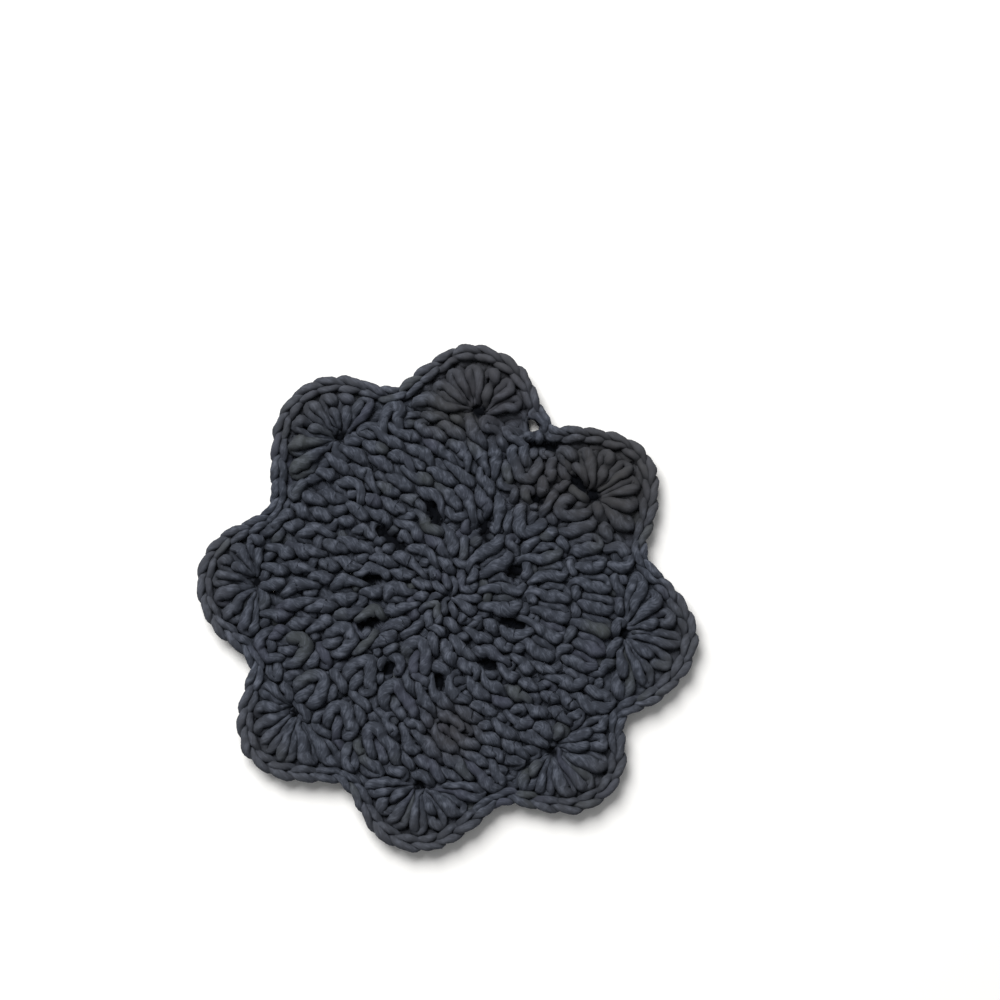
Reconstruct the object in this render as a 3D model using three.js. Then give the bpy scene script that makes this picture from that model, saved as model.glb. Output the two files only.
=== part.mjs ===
import * as THREE from 'three';

// A round crocheted drink coaster with eight scallops, lying flat on z = 0.
// Sizes are in millimetres. The middle of its outline's box is at x = y = 0.

// Driving sizes
const REST_INSET = 1.3; // how far the flat underside stays inside the widest outline
const SIDE_HEIGHT = 2.3; // height at which the edge bulges out furthest
const EDGE_TOP = 3.9; // height at which the rounded edge turns into the top
const EDGE_ROLL = 0.45; // how far the top of the edge lies inside the widest outline
const FAN_PINCH = 0.5; // share of its even width that a scallop's ribs keep at their root
const POINTS_PER_STITCH = 4; // crest, flank, valley, flank
const SCALLOP_STITCHES = 8; // seven posts and the low stitch that joins two scallops
const UNEVEN_ANGLE = 0.1; // the most that hand work moves a crest sideways, in stitches
const UNEVEN_HEIGHT = 0.28; // and up or down

// The four plain rounds, from the middle outwards.
// Lean says how many stitches a post's outer end lies further round than its root.
const ROUNDS = [
  { stitches: 10, inner: 1.5, outer: 8.6, lean: 0.2, start: 0.0, floor: 3.5, crest: 4.9 },
  { stitches: 20, inner: 8.6, outer: 19.4, lean: 0.25, start: 0.5, floor: 3.1, crest: 5.3 },
  { stitches: 36, inner: 19.4, outer: 29.5, lean: 0.7, start: 0.1, floor: 3.3, crest: 5.3 },
  { stitches: 48, inner: 29.5, outer: 39.0, lean: 0.7, start: 0.5, floor: 3.3, crest: 5.1 },
];
const BODY_RADIUS = 39.0; // where the plain rounds end
const BODY_DRIFT = -2.0; // how far the last plain round's middle lies from the first round's, along x

// The second round's posts stand in pairs. A small gap opens between two pairs in these directions.
const GAP_DEGREES = [24, 62, 102, 134, 168, 202, 232, 265, 301, 338];
const PAIRED_ROUND = 1;
const GAP_RADIUS = 17.4;
const GAP_DEPTH = 1.7;
const GAP_WIDTH = 1.5;

// Where the rings of points run across one plain round, from its root to its top.
// Height goes from the round's floor, 0, to its crest, 1. Rib is the drop between two posts.
const ROUND_STEPS = [
  { across: 0.0, height: 0.25, rib: 0.5 },
  { across: 0.22, height: 0.75, rib: 1.3 },
  { across: 0.52, height: 1.0, rib: 1.7 },
  { across: 0.82, height: 0.8, rib: 1.2 },
];

// Where the rings of points run across the scallops, from the last plain round to the edge.
const SCALLOP_STEPS = [
  { across: 0.0, height: 3.9, rib: 0.6, dimple: 0.5 },
  { across: 0.16, height: 4.3, rib: 0.9, dimple: 2.0 },
  { across: 0.34, height: 4.9, rib: 1.4, dimple: 1.1 },
  { across: 0.52, height: 5.1, rib: 1.6, dimple: 0.0 },
  { across: 0.65, height: 4.6, rib: 1.1, dimple: 0.0 },
  { across: 0.77, height: 5.3, rib: 0.8, dimple: 0.0 },
  { across: 0.87, height: 5.0, rib: 0.6, dimple: 0.0 },
];

// The eight scallops, counter-clockwise. Each reaches its tip radius at its tip direction,
// and the notch is the one after it. Root is the direction of the stitch that its ribs fan from.
const SCALLOPS = [
  { tipDegrees: -11, tip: 55.2, rootDegrees: -11, notchDegrees: 12.5, notch: 44.4 },
  { tipDegrees: 37, tip: 54.5, rootDegrees: 35.7, notchDegrees: 60, notch: 44.8 },
  { tipDegrees: 85, tip: 56.2, rootDegrees: 81, notchDegrees: 105.5, notch: 46.6 },
  { tipDegrees: 127, tip: 57.0, rootDegrees: 125.5, notchDegrees: 153.5, notch: 45.2 },
  { tipDegrees: 175.5, tip: 55.6, rootDegrees: 175.4, notchDegrees: 198, notch: 46.2 },
  { tipDegrees: 219.5, tip: 56.2, rootDegrees: 217, notchDegrees: 240.5, notch: 48.2 },
  { tipDegrees: 262.5, tip: 56.8, rootDegrees: 261.3, notchDegrees: 285, notch: 48.2 },
  { tipDegrees: 306.5, tip: 57.2, rootDegrees: 303.6, notchDegrees: 326, notch: 47.6 },
];
const SCALLOP_ROUNDNESS = 1.45; // the power that shapes a scallop between notch and tip
const PINCH_STEP = 0.2; // how far across the scallops the ribs lie closest together
const DIMPLE_WIDTH = 0.2; // half width of the pit at a scallop's root, as a share of the scallop
const JOIN_DROP = 0.6; // how much lower the edge lies at a notch

const ROUND_SEED = 100; // parts the uneven numbers of one round from the next
const EDGE_SEED = 700;
const FULL_TURN = 2 * Math.PI;

// An even spread of numbers from -1 to 1, the same on every run.
function uneven(seed) {
  const wave = Math.sin(seed * 12.9898 + 4.1414) * 43758.5453;
  return 2 * (wave - Math.floor(wave)) - 1;
}

// The same, running smoothly from each stitch's own number to the next one's.
function unevenAt(seed, point, stitches) {
  const stitch = Math.floor(point / POINTS_PER_STITCH) % stitches;
  const share = (point % POINTS_PER_STITCH) / POINTS_PER_STITCH;
  return (1 - share) * uneven(seed + stitch) + share * uneven(seed + ((stitch + 1) % stitches));
}

// Height lost from a post's crest to the valley beside it: 0 on the crest, 1 in the valley.
function valley(step) {
  const turn = (step % POINTS_PER_STITCH) / POINTS_PER_STITCH;
  return 0.5 - 0.5 * Math.cos(FULL_TURN * turn);
}

function polarPoint(radius, angle, height) {
  return new THREE.Vector3(radius * Math.cos(angle), radius * Math.sin(angle), height);
}

// A point of the plain rounds. Their middles drift sideways as the rounds grow.
function bodyPoint(radius, angle, height) {
  const point = polarPoint(radius, angle, height);
  point.x += (BODY_DRIFT * radius) / BODY_RADIUS;
  return point;
}

// The direction of a place in the round of pairs, counted in stitches from the first gap.
function pairAngle(place) {
  const pairs = GAP_DEGREES.length;
  const pair = Math.floor(place / 2);
  const from = GAP_DEGREES[((pair % pairs) + pairs) % pairs];
  const next = GAP_DEGREES[(((pair + 1) % pairs) + pairs) % pairs];
  const width = next > from ? next - from : next + 360 - from;
  return THREE.MathUtils.degToRad(from + (place / 2 - pair) * width);
}

// How much deeper a point lies for the gaps between the pairs.
function gapDepth(point) {
  const nearest = Math.min(...GAP_DEGREES.map((degrees) => {
    const gap = bodyPoint(GAP_RADIUS, THREE.MathUtils.degToRad(degrees), point.z);
    return gap.distanceTo(point);
  }));
  return GAP_DEPTH * Math.exp(-((nearest / GAP_WIDTH) ** 2));
}

// One ring of points in a plain round, its crests where the leaning posts pass.
function roundRing(round, index, step) {
  const ring = [];
  const pitch = FULL_TURN / round.stitches;
  const middle = round.floor + (round.crest - round.floor) * step.height;
  const radius = round.inner + (round.outer - round.inner) * step.across;
  for (let i = 0; i < round.stitches * POINTS_PER_STITCH; i += 1) {
    const shift = UNEVEN_ANGLE * unevenAt(index * ROUND_SEED, i, round.stitches);
    const lift = UNEVEN_HEIGHT * unevenAt(index * ROUND_SEED + 0.5, i, round.stitches);
    const place = round.start + i / POINTS_PER_STITCH + round.lean * step.across + shift;
    const angle = index === PAIRED_ROUND ? pairAngle(place) : place * pitch;
    const point = bodyPoint(radius, angle, middle + lift - step.rib * valley(i));
    point.z -= gapDepth(point);
    ring.push(point);
  }
  return ring;
}

// The outline of one scallop: its radius at a share of the way from notch, -1, over the tip, 0.
function scallopRadius(before, scallop, share) {
  const notch = share < 0 ? before.notch : scallop.notch;
  const swell = Math.cos((Math.abs(share) * Math.PI) / 2) ** SCALLOP_ROUNDNESS;
  return notch + (scallop.tip - notch) * swell;
}

// The direction at a share of the way through a scallop. The ribs are pinched at their root.
function scallopAngle(before, scallop, share, across) {
  const start = before.notchDegrees > scallop.tipDegrees
    ? before.notchDegrees - 360
    : before.notchDegrees;
  const halfWidth = share < 0 ? scallop.tipDegrees - start : scallop.notchDegrees - scallop.tipDegrees;
  const spread = scallop.tipDegrees + share * halfWidth;
  const pinched = FAN_PINCH * share + (1 - FAN_PINCH) * share ** 3;
  const rootShift = (scallop.rootDegrees - scallop.tipDegrees) * (1 - share ** 2);
  const gathered = scallop.tipDegrees + rootShift + pinched * halfWidth;
  const tightness = across < PINCH_STEP ? across / PINCH_STEP : (1 - across) / (1 - PINCH_STEP);
  return THREE.MathUtils.degToRad(spread + (gathered - spread) * tightness);
}

// One ring of points through all the scallops. Inset moves it in from the outline.
function scallopRing(step, inset = 0) {
  const ring = [];
  const points = SCALLOP_STITCHES * POINTS_PER_STITCH;
  const stitches = SCALLOPS.length * SCALLOP_STITCHES;
  SCALLOPS.forEach((scallop, index) => {
    const before = SCALLOPS[(index + SCALLOPS.length - 1) % SCALLOPS.length];
    for (let i = 0; i < points; i += 1) {
      const share = (2 * i) / points - 1;
      const lift = UNEVEN_HEIGHT * unevenAt(EDGE_SEED, index * points + i, stitches);
      const pit = step.dimple * Math.exp(-((share / DIMPLE_WIDTH) ** 2));
      const join = JOIN_DROP * share ** 8;
      const rib = step.rib * valley(i + POINTS_PER_STITCH / 2);
      const height = step.height - pit - join + (step.rib > 0 ? lift : 0) - rib;
      const angle = scallopAngle(before, scallop, share, step.across);
      const root = bodyPoint(BODY_RADIUS, angle, height);
      const edge = polarPoint(scallopRadius(before, scallop, share) - inset, angle, height);
      ring.push(root.lerp(edge, step.across));
    }
  });
  return ring;
}

// The directions of a ring's points in turns, growing all the way round from the given one.
function turnsAlong(ring, first) {
  const turns = [];
  for (let i = 0; i <= ring.length; i += 1) {
    const { point } = ring[(first + i) % ring.length];
    const turn = Math.atan2(point.y, point.x) / FULL_TURN;
    const last = i > 0 ? turns[i - 1] : turn;
    turns.push(turn + Math.round(last - turn));
  }
  return turns;
}

// The place in a ring of the point that lies nearest to a given one.
function nearestIn(ring, target) {
  const distances = ring.map(({ point }) => point.distanceTo(target));
  return distances.indexOf(Math.min(...distances));
}

// Collects points and triangles of one closed surface.
class Surface {
  constructor() {
    this.positions = [];
    this.faces = [];
  }

  addRing(points) {
    return points.map((point) => {
      this.positions.push(point.x, point.y, point.z);
      return { index: this.positions.length / 3 - 1, point };
    });
  }

  // Triangles between two rings that may differ in count. The outer one lies outside or below.
  bridge(inner, outer) {
    const first = nearestIn(outer, inner[0].point);
    const innerTurns = turnsAlong(inner, 0);
    const outerTurns = turnsAlong(outer, first);
    const wrap = Math.round(innerTurns[0] - outerTurns[0]);
    let a = 0;
    let b = 0;
    while (a < inner.length || b < outer.length) {
      const innerNow = inner[a % inner.length];
      const outerNow = outer[(first + b) % outer.length];
      const innerIsNext = innerTurns[a + 1] <= outerTurns[b + 1] + wrap;
      if (b >= outer.length || (a < inner.length && innerIsNext)) {
        a += 1;
        this.faces.push(innerNow.index, outerNow.index, inner[a % inner.length].index);
      } else {
        b += 1;
        this.faces.push(innerNow.index, outerNow.index, outer[(first + b) % outer.length].index);
      }
    }
  }

  // A fan over the hole in the middle of the first round.
  capTop(ring, height) {
    const hub = this.addRing([new THREE.Vector3(0, 0, height)])[0].index;
    ring.forEach((corner, i) => {
      this.faces.push(hub, corner.index, ring[(i + 1) % ring.length].index);
    });
  }

  // The flat underside, inside its outline.
  capUnderside(ring) {
    const outline = ring.map(({ point }) => new THREE.Vector2(point.x, point.y));
    THREE.ShapeUtils.triangulateShape(outline, []).forEach(([a, b, c]) => {
      this.faces.push(ring[a].index, ring[c].index, ring[b].index);
    });
  }

  geometry() {
    const geometry = new THREE.BufferGeometry();
    geometry.setAttribute('position', new THREE.Float32BufferAttribute(this.positions, 3));
    geometry.setIndex(this.faces);
    geometry.computeVertexNormals();
    return geometry;
  }
}

// The whole coaster is worked from one length of yarn, so it is one closed solid.
function coasterGeometry() {
  const surface = new Surface();
  const rings = [];
  ROUNDS.forEach((round, index) => {
    ROUND_STEPS.forEach((step) => rings.push(roundRing(round, index, step)));
  });
  SCALLOP_STEPS.forEach((step) => rings.push(scallopRing(step)));
  const edge = { across: 1, rib: 0, dimple: 0 };
  rings.push(scallopRing({ ...edge, height: EDGE_TOP }, EDGE_ROLL));
  rings.push(scallopRing({ ...edge, height: SIDE_HEIGHT + JOIN_DROP / 2 }));
  const underside = scallopRing({ ...edge, height: 0 }, REST_INSET);
  underside.forEach((point) => point.setZ(0));
  rings.push(underside);

  let previous = surface.addRing(rings[0]);
  surface.capTop(previous, ROUNDS[0].floor);
  rings.slice(1).forEach((points) => {
    const ring = surface.addRing(points);
    surface.bridge(previous, ring);
    previous = ring;
  });
  surface.capUnderside(previous);
  return surface.geometry();
}

// Matte, thick cotton yarn in a dark blue-grey
const yarn = new THREE.MeshStandardMaterial({ color: 0x32353c, roughness: 0.95, metalness: 0 });

const coaster = new THREE.Mesh(coasterGeometry(), yarn);
coaster.name = 'coaster';
coaster.geometry.computeBoundingBox();
const middle = coaster.geometry.boundingBox.getCenter(new THREE.Vector3());
coaster.position.set(-middle.x, -middle.y, 0);

const group = new THREE.Group();
group.add(coaster);

export default group;
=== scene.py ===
# %% [markdown]
# # A crochet coaster, followed along its yarn
#
# The real coaster is one soft, thick, matte yarn, pulled through itself with a hook. Four plain
# rounds make a disc, and a last round makes eight scallops. What the eye sees is the yarn's own
# path: legs, loops and the braided chain on the rim. So the path comes first here. A table says
# what the yarn does in one stitch, the stitches are laid round the coaster, the strands are
# pushed apart until they press into each other only a little, and then a Geometry Nodes tree
# sweeps the yarn along.

# %% The imported model
import math

import bpy
import numpy as np
from mathutils import Matrix, Vector
from mathutils.kdtree import KDTree


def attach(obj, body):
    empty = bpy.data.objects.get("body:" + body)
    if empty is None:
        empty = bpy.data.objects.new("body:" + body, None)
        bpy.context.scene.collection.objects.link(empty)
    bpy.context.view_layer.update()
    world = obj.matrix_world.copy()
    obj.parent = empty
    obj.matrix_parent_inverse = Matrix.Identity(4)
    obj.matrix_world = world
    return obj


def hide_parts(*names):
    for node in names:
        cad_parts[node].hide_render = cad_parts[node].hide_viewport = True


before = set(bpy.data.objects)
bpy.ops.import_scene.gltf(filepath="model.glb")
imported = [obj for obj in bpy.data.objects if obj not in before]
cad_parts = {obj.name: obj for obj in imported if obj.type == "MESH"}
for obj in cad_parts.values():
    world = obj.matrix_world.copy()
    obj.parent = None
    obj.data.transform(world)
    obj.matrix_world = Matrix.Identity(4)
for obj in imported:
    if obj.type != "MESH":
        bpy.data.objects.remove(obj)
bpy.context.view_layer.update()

MM = 0.001

# %% [markdown]
# ## Camera
#
# The coaster is seen from almost straight above, a little from the front and the left, so that
# a thin band of its edge shows there. A long lens keeps the scallops at their true proportions.
# The coaster's middle lies left of the picture's middle and below it, so the camera aims at a
# point beside the coaster.

# %% Camera
def placed(name, data):
    thing = bpy.data.objects.new(name, data)
    bpy.context.scene.collection.objects.link(thing)
    return thing


PICTURE_MM = 220.0  # what the picture's width covers on the coaster
AIM_MM = (11.4, 21.6, 3.0)
CAMERA_AZIMUTH = -18.0
CAMERA_ELEVATION = 83.0
LENS_MM = 85.0
SENSOR_MM = 36.0

camera_data = bpy.data.cameras.new("camera")
camera_data.lens = LENS_MM
camera_data.sensor_width = SENSOR_MM
camera = placed("camera", camera_data)
distance = PICTURE_MM * MM * LENS_MM / SENSOR_MM
azimuth, elevation = math.radians(CAMERA_AZIMUTH), math.radians(CAMERA_ELEVATION)
aim = Vector(AIM_MM) * MM
towards = Vector((
    math.sin(azimuth) * math.cos(elevation),
    -math.cos(azimuth) * math.cos(elevation),
    math.sin(elevation),
))
camera.location = aim + towards * distance
# The picture's upper edge is the coaster's +Y, whichever side the camera leans to.
right = Vector((0, 1, 0)).cross(towards).normalized()
up = towards.cross(right)
camera.rotation_mode = "QUATERNION"
camera.rotation_quaternion = Matrix((right, up, towards)).transposed().to_quaternion()
camera_data.clip_start = 0.01
camera_data.clip_end = 20.0
bpy.context.scene.camera = camera
print(f"camera {distance:.3f} m from the coaster")

# %% [markdown]
# ## Floor and light
#
# The coaster lies on a plain pale surface under soft daylight. A bright even sky keeps the floor
# nearly white, and one large soft lamp from the upper left gives the strands a lit side. Little
# light reaches the crevices between strands, and painted shade in the yarn makes them darker still.

# %% Floor
FLOOR_SIZE = 4.0
FLOOR_COLOUR = (0.93, 0.92, 0.90, 1.0)

floor_mesh = bpy.data.meshes.new("floor")
half = FLOOR_SIZE / 2
floor_mesh.from_pydata(
    [(-half, -half, 0), (half, -half, 0), (half, half, 0), (-half, half, 0)], [], [(0, 1, 2, 3)]
)
floor = placed("floor", floor_mesh)
floor_look = bpy.data.materials.new("pale_floor")
floor_look.use_nodes = True
floor_shader = floor_look.node_tree.nodes["Principled BSDF"]
floor_shader.inputs["Base Color"].default_value = FLOOR_COLOUR
floor_shader.inputs["Roughness"].default_value = 0.9
floor_mesh.materials.append(floor_look)

# %% Light
SKY_COLOUR = (0.97, 0.985, 1.0, 1.0)
SKY_STRENGTH = 0.29
LAMP_PLACE = (-0.38, 0.66, 0.98)
LAMP_SIZE = 0.75
LAMP_WATTS = 21.0

world = bpy.data.worlds.new("daylight")
world.use_nodes = True
world.node_tree.nodes["Background"].inputs["Color"].default_value = SKY_COLOUR
world.node_tree.nodes["Background"].inputs["Strength"].default_value = SKY_STRENGTH
bpy.context.scene.world = world
bpy.context.scene.view_settings.view_transform = "Standard"

lamp_data = bpy.data.lights.new("window", "AREA")
lamp_data.energy = LAMP_WATTS
lamp_data.size = LAMP_SIZE
lamp = placed("window", lamp_data)
lamp.location = LAMP_PLACE
lamp.rotation_euler = (aim - Vector(LAMP_PLACE)).to_track_quat("-Z", "Y").to_euler()
print("floor, sky and window ready")

# %% [markdown]
# ## The plan of the coaster
#
# Each round is a ring of equal stitches between two radii. Lean says how many stitches a post's
# outer end lies further round than its root. The first rounds' middle lies a little to the right
# of the last one's, as hand work does. In the second round the posts stand in pairs, with a small
# open gap between two pairs. The rounds, the pairs and the outline's tips and notches have the
# solid's own numbers, so that what is dressed here lies where the solid lies. Two things differ:
# the lean changes round the coaster, while the solid's is even, and six of the eight fans come
# out of the body 1 to 4 degrees beside the solid's.

# %% Rounds
def table(columns, rows):
    """Rows of numbers as things with named values."""
    return [dict(zip(columns, row)) for row in rows]


ROUNDS = table(("name", "stitches", "inner", "outer", "lean", "start"), [
    ("round_1", 10, 1.5, 8.6, 0.2, 0.0),
    ("round_2", 20, 8.6, 19.4, 0.25, 0.5),
    ("round_3", 36, 19.4, 29.5, 0.7, 0.1),
    ("round_4", 48, 29.5, 39.0, 0.7, 0.5),
])
BODY_RADIUS = 39.0
BODY_DRIFT = -2.0
GAP_DEGREES = [24, 62, 102, 134, 168, 202, 232, 265, 301, 338]


def in_body(radius, degrees):
    """A place in the plain rounds, in mm, whose middles drift sideways as the rounds grow."""
    turn = np.radians(degrees)
    drift = BODY_DRIFT * radius / BODY_RADIUS
    return np.array([radius * np.cos(turn) + drift, radius * np.sin(turn)])


# How much of its round's lean a post takes, by direction: on the right the posts stand straight,
# above and below they lie over.
LEAN_AT = [0, 45, 90, 135, 180, 225, 270, 315, 360]
LEAN_SHARE = [0.0, 0.3, 1.2, 0.4, 0.2, 0.7, 1.3, 0.3, 0.0]


def lean(plan, stitch):
    degrees = 360.0 * (stitch + 0.5) / plan["stitches"] % 360
    return plan["lean"] * float(np.interp(degrees, LEAN_AT, LEAN_SHARE))


PAIRS = len(GAP_DEGREES)
GAP_OPENING = 0.3  # share of a post's distance from its pair's middle that the gap takes
GAP_ACROSS = 0.72  # how far up the round the gap is widest
GAP_LENGTH = 0.5  # and how far up and down from there it reaches
GAP_FLOOR = 1.6  # mm; the strands at the back still cross the gap below this height


def pair_degrees(place, y, z):
    """The direction of a place in the round of pairs, counted in stitches from the first gap."""
    ends = np.array(GAP_DEGREES + [GAP_DEGREES[0] + 360.0])
    pair = math.floor(place / 2)
    if z > GAP_FLOOR:
        opening = GAP_OPENING * max(0.0, 1 - abs(y - GAP_ACROSS) / GAP_LENGTH)
        place = 2 * pair + 1 + (place - 2 * pair - 1) * (1 - opening)
    whole = math.floor(pair / PAIRS)
    place -= 2 * PAIRS * whole
    return float(np.interp(place, 2 * np.arange(PAIRS + 1), ends)) + 360.0 * whole


def round_place(plan, stitch, x, y, z):
    """A point x stitches along and y of the way up a plain round's stitch, in mm."""
    place = plan["start"] + stitch + x + lean(plan, stitch + x) * y
    paired = plan["name"] == "round_2"
    degrees = pair_degrees(place, y, z) if paired else 360.0 * place / plan["stitches"]
    return in_body(plan["inner"] + (plan["outer"] - plan["inner"]) * y, degrees)


print("plain stitches:", sum(plan["stitches"] for plan in ROUNDS))

# %% [markdown]
# ## The scallops
#
# Each scallop is a fan of seven posts out of one stitch, and a low stitch joins it to the next
# scallop. The outline is worked out from the scallop's tip and its two notches. The rim's chain
# runs a little inside the outline, and its stitches are equally long along it.

# %% Scallops
# tip and notch: radius in mm of the outline there. root: where the fan's posts come out. tall: how
# far up to the rim its posts reach; above the shorter ones a dark hollow shows.
SCALLOPS = table(("tip_at", "tip", "root_at", "root", "pit", "tall", "notch_at", "notch"), [
    (-11, 55.2, -11.0, 40.2, 0.9, 0.94, 12.5, 44.4),
    (37, 54.5, 33.7, 39.8, 1.2, 0.82, 60, 44.8),
    (85, 56.2, 78.5, 41.4, 1.2, 0.8, 105.5, 46.6),
    (127, 57.0, 122.0, 41.2, 1.1, 0.88, 153.5, 45.2),
    (175.5, 55.6, 175.4, 39.8, 0.7, 0.94, 198, 46.2),
    (219.5, 56.2, 218.3, 39.8, 0.7, 0.94, 240.5, 48.2),
    (262.5, 56.8, 263.6, 40.4, 0.8, 0.92, 285, 48.2),
    (306.5, 57.2, 305.9, 40.8, 0.8, 0.92, 326, 47.6),
])
ROUNDNESS = 1.45  # the power that shapes a scallop between notch and tip
EDGE_STITCHES = 8  # seven posts and the joining stitch
OUTLINE_POINTS = 121
RIM_INSET = 2.25  # from the outline in to the middle of the rim's chain
# Where hand work has pulled the rim out (+) or in, in mm, by direction.
RIM_AT = [0, 30, 45, 55, 60, 65, 72, 82, 95, 107, 115, 125, 140, 155, 165, 175, 188, 200, 210,
          222, 240, 252, 262, 283, 292, 305, 318, 325, 332, 360]
RIM_OUT = [0, 0.3, -0.5, 0, -0.8, 0.8, 1.9, 0.6, 0.3, 1.6, 1.8, 0.3, -0.4, -0.5, 0.7, 0.2, 1.4,
           0, 0.7, 0.3, -0.9, 0.6, -0.7, -1.5, -0.7, -1.4, 0, -1.1, 1.0, 0]


def scallop_outline(index):
    """The outline of one scallop in mm, from the notch before it to the one after it."""
    here, before = SCALLOPS[index], SCALLOPS[index - 1]
    first = before["notch_at"] - (360 if before["notch_at"] > here["tip_at"] else 0)
    share = np.linspace(-1, 1, OUTLINE_POINTS)
    half_width = np.where(share < 0, here["tip_at"] - first, here["notch_at"] - here["tip_at"])
    notch = np.where(share < 0, before["notch"], here["notch"])
    swell = np.clip(np.cos(np.abs(share) * np.pi / 2), 0, 1) ** ROUNDNESS
    radius = notch + (here["tip"] - notch) * swell
    turn = np.radians(here["tip_at"] + share * half_width)
    return np.stack([radius * np.cos(turn), radius * np.sin(turn)], axis=1)


outlines = [scallop_outline(i) for i in range(len(SCALLOPS))]
outline = np.concatenate([line[:-1] for line in outlines])
middle = (outline.min(axis=0) + outline.max(axis=0)) / 2


# %% The rim's chain
def softened(line, passes):
    """A closed line with its corners rounded, by passes of a 1-2-1 average."""
    for _ in range(passes):
        line = (np.roll(line, 1, axis=0) + 2 * line + np.roll(line, -1, axis=0)) / 4
    return line


def outward(line):
    """The outward side of each point of a closed line that runs counter-clockwise."""
    along = np.roll(line, -1, axis=0) - np.roll(line, 1, axis=0)
    side = np.stack([along[:, 1], -along[:, 0]], axis=1)
    return side / np.linalg.norm(side, axis=1, keepdims=True)


NOTCH_PASSES, RIM_PASSES = 12, 6  # how far the notches and then the rim's line are rounded

rim_line = softened(outline, NOTCH_PASSES)
rim_side = outward(rim_line)
rim_turn = np.degrees(np.arctan2(rim_line[:, 1], rim_line[:, 0])) % 360
rim_line = rim_line - (RIM_INSET - np.interp(rim_turn, RIM_AT, RIM_OUT))[:, None] * rim_side
rim_line = softened(rim_line, RIM_PASSES)
rim_step = np.linalg.norm(np.roll(rim_line, -1, axis=0) - rim_line, axis=1)
rim_length = np.concatenate([[0.0], np.cumsum(rim_step)])
notch_lengths = [rim_length[i * (OUTLINE_POINTS - 1)] for i in range(len(SCALLOPS))]
notch_lengths.append(rim_length[-1])


def rim_place(length):
    """The point at a length along the rim's chain, in mm, and its outward side."""
    at = np.interp(length % rim_length[-1], rim_length, np.arange(len(rim_length)))
    low = int(at) % len(rim_line)
    high, share = (low + 1) % len(rim_line), at - int(at)
    point = (1 - share) * rim_line[low] + share * rim_line[high]
    side = (1 - share) * rim_side[low] + share * rim_side[high]
    return point, side


print(f"rim chain {rim_length[-1]:.0f} mm")

# %% The fans
PIT_RADIUS = 2.1  # the dark hole that a fan's posts come out of
FAN_STEP = 26.5  # degrees between two posts of a fan
FAN_WIDTH = 0.8  # one stitch's width at a fan's root
FAN_REACH = 6.3  # and the width of one at the rim
JOIN_WIDTH = 7.0  # the width of the stitch that joins two fans
POSTS = EDGE_STITCHES - 1
LOW_STRANDS = 1.7  # mm; strands lower than this reach the rim in every scallop


def fan_ends(index):
    """Where the posts of one fan meet the rim's chain, as lengths along it."""
    first = index * (OUTLINE_POINTS - 1)
    along = (first + np.arange(OUTLINE_POINTS)) % len(rim_line)
    root = in_body(SCALLOPS[index]["root"], SCALLOPS[index]["root_at"])
    away = rim_line[along] - root
    middle_way = away[OUTLINE_POINTS // 2]
    seen = np.degrees(np.arctan2(away[:, 1], away[:, 0]) - np.arctan2(middle_way[1], middle_way[0]))
    seen = (seen + 180) % 360 - 180
    wanted = (np.arange(POSTS) - (POSTS - 1) / 2) * FAN_STEP
    return np.interp(wanted, seen, rim_length[first : first + OUTLINE_POINTS])


fan_lengths = [fan_ends(i) for i in range(len(SCALLOPS))]


def edge_place(stitch, x, y, z):
    """A point of an edge stitch in mm: y runs from its root, 0, to the rim's chain, 1."""
    scallop, post = stitch // EDGE_STITCHES, stitch % EDGE_STITCHES
    if post == POSTS:
        root = in_body(BODY_RADIUS, SCALLOPS[scallop]["notch_at"])
        end, side = rim_place(notch_lengths[scallop + 1])
        low, high = JOIN_WIDTH, JOIN_WIDTH
    else:
        root = in_body(SCALLOPS[scallop]["root"], SCALLOPS[scallop]["root_at"])
        if z > LOW_STRANDS:
            y *= SCALLOPS[scallop]["tall"]
        end, side = rim_place(fan_lengths[scallop][post])
        away = end - root
        root = root + PIT_RADIUS * away / np.linalg.norm(away)
        low, high = FAN_WIDTH, FAN_REACH
    away = (end - root) / np.linalg.norm(end - root)
    across = np.array([-away[1], away[0]])
    return root + (end - root) * y + x * (low + (high - low) * max(y, 0.0)) * across


print(len(fan_lengths), "fans of", POSTS, "posts")

# %% [markdown]
# ## What the yarn does in one stitch
#
# A tall stitch is worked like this: the yarn goes behind the work, comes out under the chain of
# the round before, rises in front as one leg, turns, goes down as the other leg, passes behind
# again, comes out between the legs, and ends in the two strands of the chain on top. Each entry of
# the table is one point of that way. x counts stitches along the round, y goes from the stitch's
# root, 0, to its top, 1, z is the height in mm, and thick is 1 where nothing squeezes the yarn.
#
# The same stitch looks different as it is pulled: on the right the legs are drawn out long, above,
# on the left and below they lie as pointed slivers or two short lumps, and at the lower left and
# upper right wide loops lie open. So there is a table for each of these, and a stitch takes one by
# its direction.

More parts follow.
